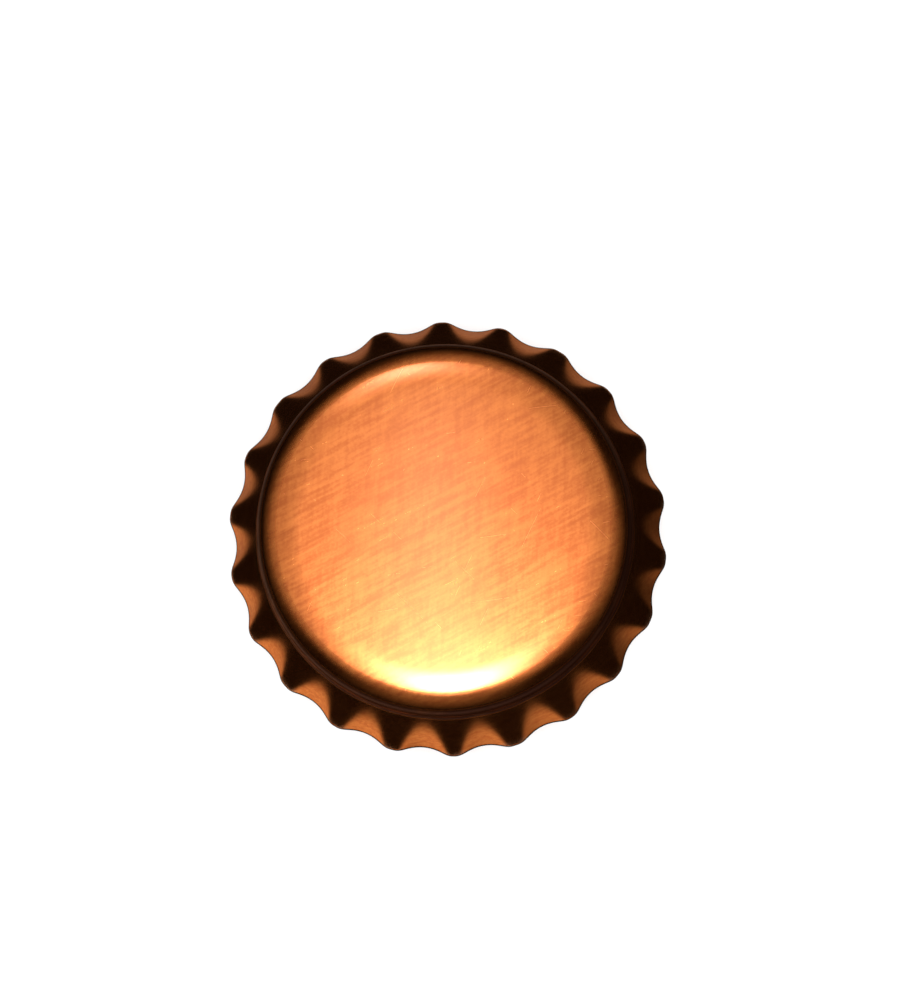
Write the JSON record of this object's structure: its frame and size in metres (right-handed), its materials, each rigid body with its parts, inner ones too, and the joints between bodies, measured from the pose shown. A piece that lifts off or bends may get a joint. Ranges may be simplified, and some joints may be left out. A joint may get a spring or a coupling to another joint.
{
  "type": "bottle cap",
  "caption": "Round crown-type bottle cap, pressed from thin sheet metal with a flat panel, rounded shoulder and flared fluted skirt, lined with a soft sealing disc.",
  "frame": {"origin": "centre of the circle on which the cut edge of the skirt stands", "axes": "+Z along the cap's axis, from the open mouth to the top panel; +X through a flute tip"},
  "size_m": [0.032, 0.0318, 0.006],
  "materials": {
    "lacquered_tinplate": "satin copper-gold lacquer",
    "liner_plastic": "soft moulded plastic"
  },
  "bodies": {
    "root": {"shell": "lacquered_tinplate", "liner": "liner_plastic"}
  },
  "joints": []
}
